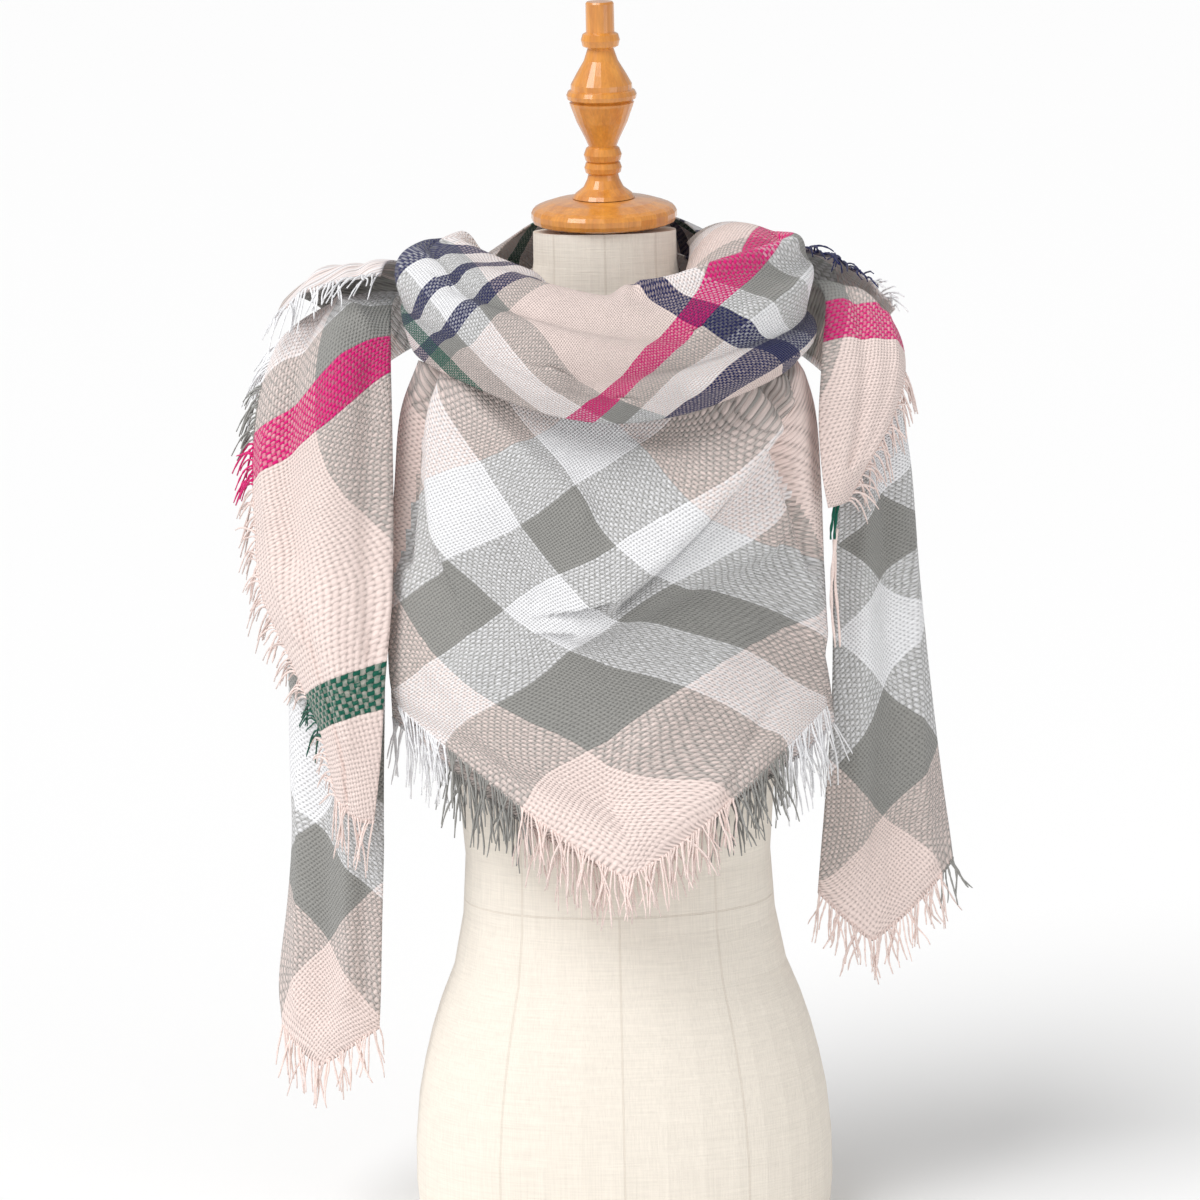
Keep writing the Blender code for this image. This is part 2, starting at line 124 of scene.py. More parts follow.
LEFT_TAIL_LONG = [
    (-254, 34, 612, -172, -38, 612, 12, 0, 0.5),
    (-256, 32, 520, -174, -42, 520, 14, 0, 0.5),
    (-257, 30, 440, -177, -44, 440, 16, 0, 0.5),
    (-258, 26, 370, -180, -44, 366, 17, 0, 0.5),
    (-258, 22, 310, -182, -44, 306, 17, 0, 0.5),
    (-263, 16, 256, -185, -42, 248, 16, 0, 0.5),
    (-271, 8, 196, -188, -38, 190, 14, 0, 0.5),
    (-269, 0, 158, -190, -34, 164, 12, 28, 0.45),
]
RIGHT_SHOULDER_LAYER = [
    (124, 106, 704, 196, 116, 640, 9, 0, 0.5),
    (146, 72, 752, 220, 78, 698, 10, 0, 0.5),
    (152, 36, 764, 226, 40, 714, 9, 0, 0.5),
]
RIGHT_TAIL_FLAP = [
    (130, 98, 688, 190, 106, 638, 8, 0, 0.5),
    (152, 46, 736, 214, 52, 696, 9, 0, 0.5),
    (168, -6, 730, 226, 4, 698, 12, 0, 0.5),
    (163, -58, 690, 229, -20, 670, 18, 0, 0.5),
    (159, -72, 642, 217, -40, 636, 15, 0, 0.5),
    (161, -76, 600, 196, -58, 602, 8, 0, 0.5),
    (165, -76, 574, 182, -66, 578, 3, 0, 0.5),
]
RIGHT_TAIL_LONG = [
    (170, -26, 656, 226, 38, 652, 16, 0, 0.5),
    (172, -34, 592, 236, 36, 596, 18, 0, 0.5),
    (170, -38, 505, 242, 32, 510, 19, 0, 0.5),
    (168, -38, 420, 249, 28, 428, 18, 0, 0.5),
    (162, -38, 344, 257, 22, 350, 16, 0, 0.5),
    (157, -38, 290, 263, 14, 300, 14, 0, 0.5),
    (155, -36, 266, 265, 8, 280, 12, 46, 0.35),
]
# Stretches round the neck: each row's turn in degrees from the front, the radius and height of its edge at
# the neck and of its tucked or lower edge, and how far it bows out between them.
Roll = namedtuple("Roll", "turn neck_r neck_z tuck_r tuck_z bow")
COWL_FRONT = [
    (-104, 80, 738, 140, 712, 54),
    (-88, 80, 734, 148, 704, 60),
    (-65, 76, 728, 155, 694, 64),
    (-42, 72, 720, 157, 680, 65),
    (-20, 68, 712, 156, 662, 65),
    (0, 66, 707, 155, 652, 64),
    (20, 66, 708, 155, 656, 61),
    (42, 68, 722, 157, 670, 60),
    (65, 67, 748, 155, 684, 54),
    (88, 66, 766, 148, 698, 50),
    (104, 66, 770, 140, 704, 46),
]
NAPE_UNDER = [
    (92, 82, 750, 126, 716, 6),
    (105, 76, 754, 138, 684, 8),
    (130, 66, 762, 134, 640, 8),
    (155, 62, 768, 120, 596, 6),
    (180, 62, 768, 112, 588, 6),
    (210, 64, 762, 116, 630, 6),
    (238, 72, 748, 126, 690, 6),
]
NAPE_OVER = [
    (98, 80, 768, 130, 718, 16),
    (125, 73, 786, 146, 676, 20),
    (150, 70, 790, 138, 634, 22),
    (180, 70, 792, 128, 600, 22),
    (205, 72, 790, 136, 602, 22),
    (230, 76, 784, 145, 642, 20),
    (248, 90, 764, 141, 696, 14),
    (258, 97, 742, 126, 722, 7),
]
# Folds: where each starts, bends and ends (shares down and across), its width to each side, its height,
# and how far its crest hangs over the side after it.
Fold = namedtuple("Fold", "s0 t0 sm tm s1 t1 before after height overhang", defaults=[0])
BIB_FOLDS = [
    (-0.05, 0.12, 0.16, 0.10, 0.42, 0.15, 14, 42, 11, -8),
    (0.08, 0.90, 0.26, 0.84, 0.45, 0.50, 40, 13, 17, 13),
    (0.05, 0.97, 0.35, 0.94, 0.66, 0.97, 12, 16, 9, -4),
    (0.42, 0.86, 0.46, 0.66, 0.54, 0.44, 28, 13, 9, 8),
    (0.52, 0.20, 0.66, 0.34, 0.80, 0.48, 26, 26, -5),
    (0.00, 0.045, 0.20, 0.045, 0.48, 0.03, 6, 7, -10),
    (0.00, 0.875, 0.22, 0.885, 0.50, 0.97, 6, 6, -11),
    (0.02, 0.16, 0.18, 0.26, 0.30, 0.44, 10, 12, 4.5, 3),
    (0.06, 0.12, 0.30, 0.24, 0.50, 0.34, 8, 12, -4),
    (0.30, 0.10, 0.46, 0.18, 0.68, 0.20, 12, 16, 3),
    (0.20, 0.86, 0.335, 0.72, 0.47, 0.52, 6, 7, -9),
    (0.60, 0.82, 0.68, 0.70, 0.76, 0.56, 12, 18, 3.5),
    (0.70, 0.10, 0.80, 0.22, 0.95, 0.30, 12, 12, 3),
    (0.74, 0.90, 0.84, 0.84, 0.97, 0.72, 9, 12, -3),
    (0.15, 0.58, 0.22, 0.66, 0.26, 0.78, 9, 14, 3),
]
UNDER_FOLDS = [
    (0.3, 0.15, 0.6, 0.2, 1.0, 0.18, 14, 14, 3),
    (0.4, 0.70, 0.7, 0.74, 1.0, 0.72, 12, 16, -3),
    (0.3, 0.92, 0.6, 0.90, 1.0, 0.92, 8, 8, 3),
]
COWL_FOLDS = [
    (0.54, 0.36, 0.72, 0.40, 0.98, 0.58, 13, 13, -10),
    (0.02, 0.62, 0.20, 0.70, 0.42, 0.86, 18, 18, -8),
    (0.00, 0.34, 0.16, 0.30, 0.34, 0.26, 16, 12, -7),
    (0.46, 0.78, 0.66, 0.72, 0.92, 0.80, 20, 12, 8, 7),
    (0.56, 0.40, 0.70, 0.42, 0.84, 0.50, 5, 5, -6),
    (0.56, 0.30, 0.70, 0.34, 0.90, 0.44, 12, 8, 5, 6),
    (0.28, 0.60, 0.44, 0.55, 0.60, 0.62, 18, 10, 5, 5),
    (0.12, 0.78, 0.28, 0.74, 0.50, 0.88, 16, 9, 5, 5),
    (0.70, 0.66, 0.82, 0.60, 0.97, 0.68, 7, 9, -5),
    (0.06, 0.46, 0.18, 0.48, 0.30, 0.56, 8, 8, 4),
    (0.62, 0.90, 0.76, 0.92, 0.92, 0.90, 8, 8, -4),
    (0.34, 0.40, 0.44, 0.38, 0.52, 0.44, 8, 12, -3),
]
NAPE_FOLDS = [
    (0.05, 0.30, 0.40, 0.42, 0.80, 0.62, 16, 16, 6),
    (0.15, 0.68, 0.50, 0.74, 0.86, 0.92, 14, 14, 5),
    (0.10, 0.50, 0.42, 0.56, 0.90, 0.80, 7, 9, -4),
    (0.30, 0.12, 0.55, 0.20, 0.86, 0.30, 8, 10, -3),
    (0.36, 0.88, 0.50, 0.82, 0.64, 0.90, 7, 9, 3),
]
LEFT_FLAP_FOLDS = [
    (0.24, 0.34, 0.40, 0.30, 0.60, 0.36, 16, 16, -8),
    (0.28, 0.70, 0.50, 0.66, 0.86, 0.60, 20, 20, 7),
    (0.36, 0.88, 0.55, 0.86, 0.74, 0.90, 7, 9, -4),
    (0.10, 0.30, 0.20, 0.50, 0.30, 0.86, 8, 9, 4),
    (0.44, 0.14, 0.56, 0.18, 0.72, 0.30, 8, 10, 3),
    (0.70, 0.40, 0.84, 0.52, 0.98, 0.44, 5, 6, -3),
]
LEFT_LONG_FOLDS = [
    (0.00, 0.42, 0.40, 0.46, 0.90, 0.52, 16, 16, -6),
    (0.20, 0.72, 0.50, 0.78, 0.86, 0.74, 8, 10, 4),
    (0.45, 0.22, 0.66, 0.18, 0.92, 0.26, 7, 9, 3),
    (0.55, 0.90, 0.70, 0.84, 0.84, 0.90, 6, 7, -3),
]
RIGHT_LONG_FOLDS = [
    (0.00, 0.42, 0.40, 0.46, 0.90, 0.52, 16, 16, -6),
    (0.10, 0.20, 0.44, 0.16, 0.80, 0.24, 8, 11, 4),
    (0.30, 0.78, 0.56, 0.72, 0.90, 0.80, 8, 8, 3),
    (0.60, 0.34, 0.72, 0.38, 0.94, 0.34, 6, 6, -2.5),
]
RIGHT_FLAP_FOLDS = [
    (0.30, 0.30, 0.50, 0.36, 0.80, 0.50, 8, 8, -4),
    (0.36, 0.70, 0.52, 0.74, 0.78, 0.80, 6, 8, 3),
    (0.05, 0.50, 0.20, 0.40, 0.34, 0.56, 7, 7, 3),
]
LAYER_FOLDS = [
    (0.1, 0.4, 0.4, 0.5, 0.95, 0.3, 7, 8, 4),
    (0.2, 0.8, 0.5, 0.7, 0.95, 0.8, 6, 6, -3),
]

# Where each stretch comes from in the cut cloth, in blocks from its two cut edges: a pair for each of a few
# places across it, from left to right, and a row for each of a few places down it.
BIB_CUT = [
    [(2.6, 5.95), (4.1, 5.75), (5.1, 4.75), (5.85, 3.9), (5.95, 2.9)],
    [(2.1, 5.9), (3.5, 5.25), (4.6, 4.15), (5.75, 3.4), (5.95, 2.5)],
    [(1.6, 5.3), (2.9, 4.4), (4.1, 3.25), (5.2, 2.6), (5.8, 2.0)],
    [(1.1, 4.5), (2.2, 3.4), (3.1, 2.2), (4.1, 1.6), (5.1, 1.3)],
    [(0.7, 3.75), (1.35, 2.45), (1.6, 1.4), (2.5, 0.95), (4.1, 0.85)],
    [(0.4, 3.15), (0.52, 1.48), (0.8, 0.5), (1.55, 0.4), (3.3, 0.45)],
    [(0.0, 2.7), (0.0, 0.95), (0.0, 0.0), (1.1, 0.0), (2.9, 0.0)],
]
# Tucks: the groove's share across at the top, how fast it runs outward, and what it hides of the two counts.
Tuck = namedtuple("Tuck", "side top outward hidden_a hidden_b")
BIB_TUCKS = [Tuck(-1, 0.045, 0.03, -1.3, 2.5), Tuck(1, 0.875, 0.13, 2.75, -1.9)]
UNDER_CUT = [
    [(3.0, 6.4), (4.8, 4.8), (6.4, 3.0)],
    [(1.0, 4.2), (2.4, 2.4), (4.2, 1.0)],
    [(0.0, 2.7), (0.0, 0.0), (2.9, 0.0)],
]
COWL_CUT = [
    [(9.14, 10.94), (8.52, 11.38), (7.84, 11.81), (6.95, 12.05), (6.1, 13.08)],
    [(8.98, 10.94), (8.28, 11.48), (7.47, 12.0), (6.6, 12.28), (5.8, 13.53)],
    [(10.0, 12.97), (9.22, 13.67), (8.4, 14.34), (7.6, 15.0), (6.85, 16.22)],
    [(11.64, 15.08), (10.94, 15.78), (10.19, 16.56), (9.38, 17.58), (8.05, 18.56)],
    [(13.1, 15.94), (12.5, 16.56), (11.88, 17.34), (11.17, 18.28), (10.47, 19.38)],
    [(14.5, 15.63), (13.9, 16.25), (13.28, 17.03), (12.5, 17.97), (11.56, 18.83)],
]
LEFT_FLAP_CUT = [
    [(0.0, 9.9), (0.86, 9.8), (1.75, 9.7)],
    [(0.0, 10.05), (0.94, 10.0), (1.85, 9.75)],
    [(0.0, 9.2), (0.9, 8.85), (1.95, 8.3)],
    [(0.0, 7.8), (0.5, 7.4), (0.98, 7.1)],
    [(0.0, 6.6), (0.5, 6.35), (0.95, 6.15)],
    [(0.0, 5.4), (0.35, 5.23), (0.7, 5.1)],
]
RIGHT_FLAP_CUT = [
    [(1.6, 9.6), (1.0, 9.6), (0.2, 9.6)],
    [(1.3, 9.15), (0.7, 9.1), (0.0, 8.95)],
    [(0.95, 7.6), (0.5, 7.5), (0.0, 7.4)],
    [(0.4, 6.6), (0.2, 6.6), (0.0, 6.5)],
]
LEFT_LONG_CUT = [
    [(5.2, 5.2), (5.55, 4.85), (6.2, 4.2)],
    [(3.75, 3.85), (4.1, 3.5), (4.75, 2.85)],
    [(2.53, 2.83), (2.9, 2.5), (3.5, 1.8)],
    [(1.43, 2.08), (1.8, 1.7), (2.4, 1.1)],
    [(0.3, 1.4), (0.8, 0.9), (1.35, 0.35)],
    [(0.0, 0.95), (0.0, 0.0), (0.85, 0.0)],
]
RIGHT_LONG_CUT = [
    [(4.85, 5.85), (5.35, 5.35), (5.5, 5.2)],
    [(3.55, 4.55), (4.1, 4.0), (4.35, 3.75)],
    [(2.1, 3.1), (2.75, 2.45), (3.0, 2.2)],
    [(1.0, 2.2), (1.65, 1.55), (2.1, 1.1)],
    [(0.2, 1.4), (0.88, 0.68), (1.4, 0.15)],
    [(0.0, 0.75), (0.1, 0.0), (1.25, 0.0)],
]
LEFT_LAYER_CUT = [[(1.9, 9.2), (1.4, 9.3), (0.9, 9.4)], [(0.8, 9.6), (0.4, 9.8), (0.1, 10.0)]]
RIGHT_LAYER_CUT = [[(2.0, 9.2), (1.4, 9.3), (0.8, 9.4)], [(0.9, 10.4), (0.5, 10.2), (0.0, 9.9)]]
NAPE_OVER_CUT = [
    [(8.0, 14.2), (7.2, 15.0), (6.4, 15.8)],
    [(5.2, 10.4), (4.2, 11.0), (3.2, 11.6)],
    [(3.2, 6.4), (1.6, 6.0), (0.0, 5.4)],
    [(5.2, 4.6), (4.2, 3.0), (3.2, 1.4)],
]
NAPE_UNDER_CUT = [[(7.0, 12.0), (6.0, 12.4), (5.0, 12.8)], [(3.0, 5.0), (1.5, 4.0), (0.0, 3.0)]]


# ---------------------------------------------------------------- shapes


def spline(before, start, end, after, k):
    """Catmull-Rom values a share k of the way from start to end."""
    slope_in = (end - before) / 2
    slope_out = (after - start) / 2
    change = end - start
    cubic = slope_in + slope_out - 2 * change
    square = 3 * change - 2 * slope_in - slope_out
    return start + k * (slope_in + k * (square + k * cubic))


def smooth_rows(rows, s):
    """The table's rows at shares s of the way along, smoothed through the rows."""
    rows = np.asarray(rows, float)
    padded = np.concatenate([[2 * rows[0] - rows[1]], rows, [2 * rows[-1] - rows[-2]]])
    place = np.clip(s, 0, 1) * (len(rows) - 1)
    i = np.minimum(place.astype(int), len(rows) - 2)
    k = (place - i).reshape(place.shape + (1,) * (rows.ndim - 1))
    return spline(padded[i], padded[i + 1], padded[i + 2], padded[i + 3], k)


def read_row(kind, rows, s):
    """The table's row at shares s of the way along, by the names of its columns."""
    return kind(*np.moveaxis(smooth_rows(rows, s), -1, 0))


def unit(v):
    return v / np.maximum(np.linalg.norm(v, axis=-1, keepdims=True), 1e-9)


def row_ends(row):
    return np.stack([row.lx, row.ly, row.lz], -1), np.stack([row.rx, row.ry, row.rz], -1)


def hanging_surface(rows, s, t):
    """Points of a hanging stretch, s down its rows and t across from its left end to its right."""
    row = read_row(Section, rows, s)
    left, right = row_ends(row)
    low = np.minimum(s + RUN_STEP, 1)
    high = np.where(low == 1, 1 - 2 * RUN_STEP, np.maximum(s - RUN_STEP, 0))
    low_left, low_right = row_ends(read_row(Section, rows, low))
    high_left, high_right = row_ends(read_row(Section, rows, high))
    run = low_left + low_right - high_left - high_right
    outward = unit(np.cross(run, right - left))
    from_tip = np.where(t < row.tip, (row.tip - t) / row.tip, (t - row.tip) / (1 - row.tip))
    swell = row.bow * (1 - np.abs(2 * t - 1) ** FULLNESS)
    fall = row.drop * (1 - np.abs(from_tip) ** 1.2)
    return left + (right - left) * t[..., None] + outward * swell[..., None] + unit(run) * fall[..., None]


def round_the_neck(row, across, out):
    """Points a share across from the neck's edge to the lower one, moved out from the line between them."""
    turn = np.radians(row.turn)
    run_r, run_z = row.tuck_r - row.neck_r, row.tuck_z - row.neck_z
    run = np.hypot(run_r, run_z)
    radius = row.neck_r + run_r * across - run_z / run * out
    height = row.neck_z + run_z * across + run_r / run * out
    return np.stack([radius * np.sin(turn), -radius * np.cos(turn), height], -1)


def roll_surface(rows, s, t):
    row = read_row(Roll, rows, s)
    return round_the_neck(row, (1 - np.cos(math.pi * t)) / 2, row.bow * np.sin(math.pi * t))


def collar_surface(rows, s, t):
    row = read_row(Roll, rows, s)
    return round_the_neck(row, t, row.bow * (1 - np.abs(2 * t - 1) ** FULLNESS))


def line_length(points):
    return float(np.linalg.norm(np.diff(points, axis=0), axis=1).sum())


def relief(folds, size, s, t):
    """How far the folds move each point of a stretch of the given size: out, down and across."""
    here = np.stack([s * size[0], t * size[1]], -1)
    moved = np.zeros(s.shape + (3,))
    for fold in (Fold(*row) for row in folds):
        k = np.linspace(0, 1, FOLD_STEPS + 1)
        at_s = (1 - k) ** 2 * fold.s0 + 2 * k * (1 - k) * fold.sm + k * k * fold.s1
        at_t = (1 - k) ** 2 * fold.t0 + 2 * k * (1 - k) * fold.tm + k * k * fold.t1
        path = np.stack([at_s * size[0], at_t * size[1]], -1)
        nearest = np.full(s.shape, FAR)
        side = np.zeros(s.shape)
        for start, end in zip(path, path[1:]):
            run = end - start
            share = np.clip(((here - start) @ run) / (run @ run), 0, 1)
            off = here - start - share[..., None] * run
            away = np.linalg.norm(off, axis=-1)
            closer = away < nearest
            nearest = np.where(closer, away, nearest)
            side = np.where(closer, run[0] * off[..., 1] - run[1] * off[..., 0], side)
        crest = np.exp(-((nearest / np.where(side > 0, fold.after, fold.before)) ** 2))
        over = unit(np.array([path[0, 1] - path[-1, 1], path[-1, 0] - path[0, 0]])) * fold.overhang
        moved += crest[..., None] * np.array([fold.height, *over])
    return moved


def hidden_in_tucks(tucks, s, t):
    """What the tucks hide of the two counts at these places."""
    hidden = np.zeros(s.shape + (2,))
    for tuck in tucks:
        past = tuck.side * (t - tuck.top) - tuck.outward * 4 * s**2
        hidden += (past > 0)[..., None] * np.array([tuck.hidden_a, tuck.hidden_b])
    return hidden * BLOCK


def cut_places(table, s, t):
    """Where points of a stretch come from in the cut cloth, in millimetres from its two cut edges."""
    table = np.asarray(table, float)
    down = smooth_rows(table, s[:, 0])
    across = np.stack([smooth_rows(line, t[0]) for line in down])
    return np.maximum(across, 0) * BLOCK


# ---------------------------------------------------------------- materials


def linear(rgb):
    return tuple(((c / 255 + 0.055) / 1.055) ** 2.4 if c > 10 else c / 3295 for c in rgb)


def yarn_at(sett, place):
    for end, yarn in sett:
        if place < end:
            return linear(YARNS[yarn])
    return linear(YARNS[sett[-1][1]])


class Shader:
    """Short calls for building one material's nodes."""

    def __init__(self, name):
        self.material = bpy.data.materials.new(name)
        self.material.use_nodes = True
        self.nodes = self.material.node_tree.nodes
        self.links = self.material.node_tree.links
        self.surface = self.nodes["Principled BSDF"]

    def put(self, socket, value):
        if isinstance(value, bpy.types.NodeSocket):
            self.links.new(value, socket)
        else:
            socket.default_value = value

    def math(self, operation, *values):
        node = self.nodes.new("ShaderNodeMath")
        node.operation = operation
        for socket, value in zip(node.inputs, values):
            self.put(socket, value)
        return node.outputs[0]

    def noise(self, vector, scale, detail=3.0, stretch=(1, 1, 1)):
        mapping = self.nodes.new("ShaderNodeMapping")
        mapping.inputs["Scale"].default_value = stretch
        self.put(mapping.inputs["Vector"], vector)
        node = self.nodes.new("ShaderNodeTexNoise")
        node.inputs["Scale"].default_value = scale
        node.inputs["Detail"].default_value = detail
        self.put(node.inputs["Vector"], mapping.outputs[0])
        return node.outputs["Fac"]

    def mix(self, share, first, second, blend="MIX"):
        node = self.nodes.new("ShaderNodeMix")
        node.data_type = "RGBA"
        node.blend_type = blend
        self.put(node.inputs[0], share)
        self.put(node.inputs[6], first)
        self.put(node.inputs[7], second)
        return node.outputs[2]

    def stripes(self, place, sett):
        """The sett's colour at a distance in millimetres from the cut edge, and 1 where it is an accent."""
        node = self.nodes.new("ShaderNodeValToRGB")
        ramp = node.color_ramp
        ramp.interpolation = "CONSTANT"
        start = 0
        for count, (end, yarn) in enumerate(sett):
            stop = ramp.elements[0] if count == 0 else ramp.elements.new(start / CUT)
            stop.position = start / CUT
            stop.color = (*linear(YARNS[yarn]), float(yarn in ACCENTS))
            start = end
        ramp.elements.remove(ramp.elements[-1])
        self.put(node.inputs[0], self.math("DIVIDE", place, CUT))
        return node.outputs[0], node.outputs[1]

    def split(self, vector):
        node = self.nodes.new("ShaderNodeSeparateXYZ")
        self.put(node.inputs[0], vector)
        return node.outputs

    def grey_value(self, value):
        node = self.nodes.new("ShaderNodeCombineColor")
        for socket in node.inputs:
            self.put(socket, value)
        return node.outputs[0]

    def bump(self, height, distance):
        node = self.nodes.new("ShaderNodeBump")
        node.inputs["Distance"].default_value = distance
        self.put(node.inputs["Height"], height)
        self.links.new(node.outputs[0], self.surface.inputs["Normal"])

    def finish(self, **values):
        for name, value in values.items():
            self.surface.inputs[name.replace("_", " ")].default_value = value
        return self.material


def plaid_material():
    """A loose plain weave of brushed yarn, striped by the sett both ways, with a soft nap."""
    m = Shader("plaid weave")
    uv = m.nodes.new("ShaderNodeUVMap")
    uv.uv_map = "cut"
    u, v, _ = m.split(uv.outputs[0])
    wander = m.math("MULTIPLY", m.math("SUBTRACT", m.noise(uv.outputs[0], 45, 2), 0.5), YARN_WANDER)
    wander_back = m.math("MULTIPLY", m.math("SUBTRACT", m.noise(uv.outputs[0], 61, 2), 0.5), YARN_WANDER)
    warp_place = m.math("ADD", m.math("MULTIPLY", u, 1 / MM), wander)
    weft_place = m.math("ADD", m.math("MULTIPLY", v, 1 / MM), wander_back)
    a, b = m.math("DIVIDE", warp_place, PITCH), m.math("DIVIDE", weft_place, PITCH)
    i, j = m.math("FLOOR", a), m.math("FLOOR", b)
    off_a = m.math("SUBTRACT", m.math("FRACT", a), 0.5)
    off_b = m.math("SUBTRACT", m.math("FRACT", b), 0.5)
    odd = m.math("FLOORED_MODULO", m.math("ADD", i, j), 2)
    sign = m.math("SUBTRACT", 1, m.math("MULTIPLY", odd, 2))
    wave_a = m.math("COSINE", m.math("MULTIPLY", off_a, math.pi))
    wave_b = m.math("COSINE", m.math("MULTIPLY", off_b, math.pi))
    over = m.math("MULTIPLY", m.math("MULTIPLY", sign, 0.5), wave_b)
    under = m.math("MULTIPLY", m.math("MULTIPLY", sign, -0.5), wave_a)
    squared_a = m.math("POWER", m.math("ABSOLUTE", off_a), 2)
    squared_b = m.math("POWER", m.math("ABSOLUTE", off_b), 2)
    warp_round = m.math("SUBTRACT", 1, m.math("MULTIPLY", squared_a, THREAD_CURVE))
    weft_round = m.math("SUBTRACT", 1, m.math("MULTIPLY", squared_b, THREAD_CURVE))
    warp_height, weft_height = m.math("ADD", warp_round, over), m.math("ADD", weft_round, under)
    height = m.math("MAXIMUM", warp_height, weft_height)
    warp_on_top = m.math("GREATER_THAN", warp_height, weft_height)
    # The stripe is picked at the thread's middle, so that a thread keeps one colour.
    warp_colour, warp_accent = m.stripes(m.math("MULTIPLY", m.math("ADD", i, 0.5), PITCH), WARP)
    weft_colour, weft_accent = m.stripes(m.math("MULTIPLY", m.math("ADD", j, 0.5), PITCH), WEFT)
    # The nap of each yarn lies over its neighbour, so the two colours run into each other.
    share = m.math("ADD", YARN_BLEND, m.math("MULTIPLY", warp_on_top, 1 - 2 * YARN_BLEND))
    patchy = m.math("MULTIPLY", m.math("SUBTRACT", m.noise(uv.outputs[0], 330, 3), 0.5), 1.1)
    accent = m.math("MULTIPLY", m.math("SUBTRACT", warp_accent, weft_accent), ACCENT_COVER)
    share = m.math("ADD", m.math("ADD", share, patchy), accent)
    share = m.math("MINIMUM", 1, m.math("MAXIMUM", 0, share))
    woven = m.mix(share, weft_colour, warp_colour)
    heather = m.noise(uv.outputs[0], 520, 3)
    cloudy = m.noise(uv.outputs[0], 26, 2)
    shade = m.math("ADD", 0.74, m.math("MULTIPLY", heather, 0.42))
    shade = m.math("ADD", shade, m.math("MULTIPLY", m.math("SUBTRACT", cloudy, 0.5), 0.12))
    # Painted shade: the weave is darker where the threads lie low, in the gaps between them.
    weave_gap_shade = m.math("MINIMUM", 1, m.math("ADD", 0.66, m.math("MULTIPLY", height, 0.32)))
    shaded = m.mix(1.0, woven, m.grey_value(m.math("MULTIPLY", shade, weave_gap_shade)), "MULTIPLY")
    m.put(m.surface.inputs["Base Color"], shaded)
    fuzz = m.noise(uv.outputs[0], 900, 4)
    m.bump(m.math("ADD", height, m.math("MULTIPLY", fuzz, 0.7)), 0.0007)
    return m.finish(Roughness=0.94, Sheen_Weight=0.22, Sheen_Roughness=0.5, Specular_IOR_Level=0.15)


def fringe_material():
    """Twisted yarn ends, each in its own yarn's colour."""
    m = Shader("fringe yarn")
    colour = m.nodes.new("ShaderNodeVertexColor")
    colour.layer_name = "yarn"
    place = m.nodes.new("ShaderNodeTexCoord").outputs["Object"]
    fibres = m.noise(place, 900, 3)
    shade = m.math("ADD", 0.66, m.math("MULTIPLY", fibres, 0.56))
    m.put(m.surface.inputs["Base Color"], m.mix(1.0, colour.outputs[0], m.grey_value(shade), "MULTIPLY"))
    m.bump(fibres, 0.0004)
    return m.finish(Roughness=0.93, Sheen_Weight=0.25, Specular_IOR_Level=0.15)


def linen_material():
    """Undyed linen stretched over the form, with thin slubs both ways and faint princess seams."""
    m = Shader("linen cover")
    place = m.nodes.new("ShaderNodeTexCoord").outputs["Object"]
    x, y, z = m.split(place)
    crosswise = m.noise(place, 300, 3, (0.12, 0.12, 3.0))
    lengthwise = m.noise(place, 300, 3, (3.0, 3.0, 0.10))
    threads = m.math("ADD", crosswise, lengthwise)
    turn = m.math("ARCTAN2", x, m.math("MULTIPLY", y, -1))
    radius = m.math("SQRT", m.math("ADD", m.math("MULTIPLY", x, x), m.math("MULTIPLY", y, y)))
    apart = 2 * math.pi / LINEN_SEAMS
    past_seam = m.math("FLOORED_MODULO", m.math("ADD", turn, apart / 2), apart)
    from_seam = m.math("ABSOLUTE", m.math("SUBTRACT", past_seam, apart / 2))
    seam = m.math("LESS_THAN", m.math("MULTIPLY", from_seam, radius), LINEN_SEAM_HALF)
    from_waist = m.math("ABSOLUTE", m.math("SUBTRACT", z, WAIST_HEIGHT))
    waist = m.math("LESS_THAN", from_waist, WAIST_SEAM_HALF)
    line = m.math("MAXIMUM", seam, waist)
    shade = m.math("ADD", 0.80, m.math("MULTIPLY", threads, 0.2))
    dyed = m.mix(m.noise(place, 7, 2), (*linear((239, 231, 219)), 1), (*linear((233, 225, 213)), 1))
    woven = m.mix(1.0, dyed, m.grey_value(shade), "MULTIPLY")
    sewn = m.mix(m.math("MULTIPLY", line, 0.16), woven, (*linear((172, 150, 128)), 1))
    m.put(m.surface.inputs["Base Color"], sewn)
    m.bump(m.math("SUBTRACT", threads, m.math("MULTIPLY", line, 1.5)), 0.0003)
    return m.finish(Roughness=0.88, Sheen_Weight=0.1, Specular_IOR_Level=0.25)


def wood_material():
    """Honey-coloured turned wood under a clear varnish."""
    m = Shader("varnished wood")
    place = m.nodes.new("ShaderNodeTexCoord").outputs["Object"]
    grain = m.noise(place, 34, 6, (3.2, 3.2, 0.5))
    fine = m.noise(place, 260, 4, (2.5, 2.5, 0.16))
    broad = m.mix(m.math("MULTIPLY", grain, 1.2), (*linear((172, 92, 22)), 1), (*linear((240, 164, 66)), 1))
    streaks = m.math("ADD", 0.72, m.math("MULTIPLY", fine, 0.5))
    m.put(m.surface.inputs["Base Color"], m.mix(1.0, broad, m.grey_value(streaks), "MULTIPLY"))
    m.bump(fine, 0.00012)
    return m.finish(Roughness=0.34, Coat_Weight=0.8, Coat_Roughness=0.12)


# ---------------------------------------------------------------- cloth and fringe

Sheet = namedtuple("Sheet", "thing grid cut normal")


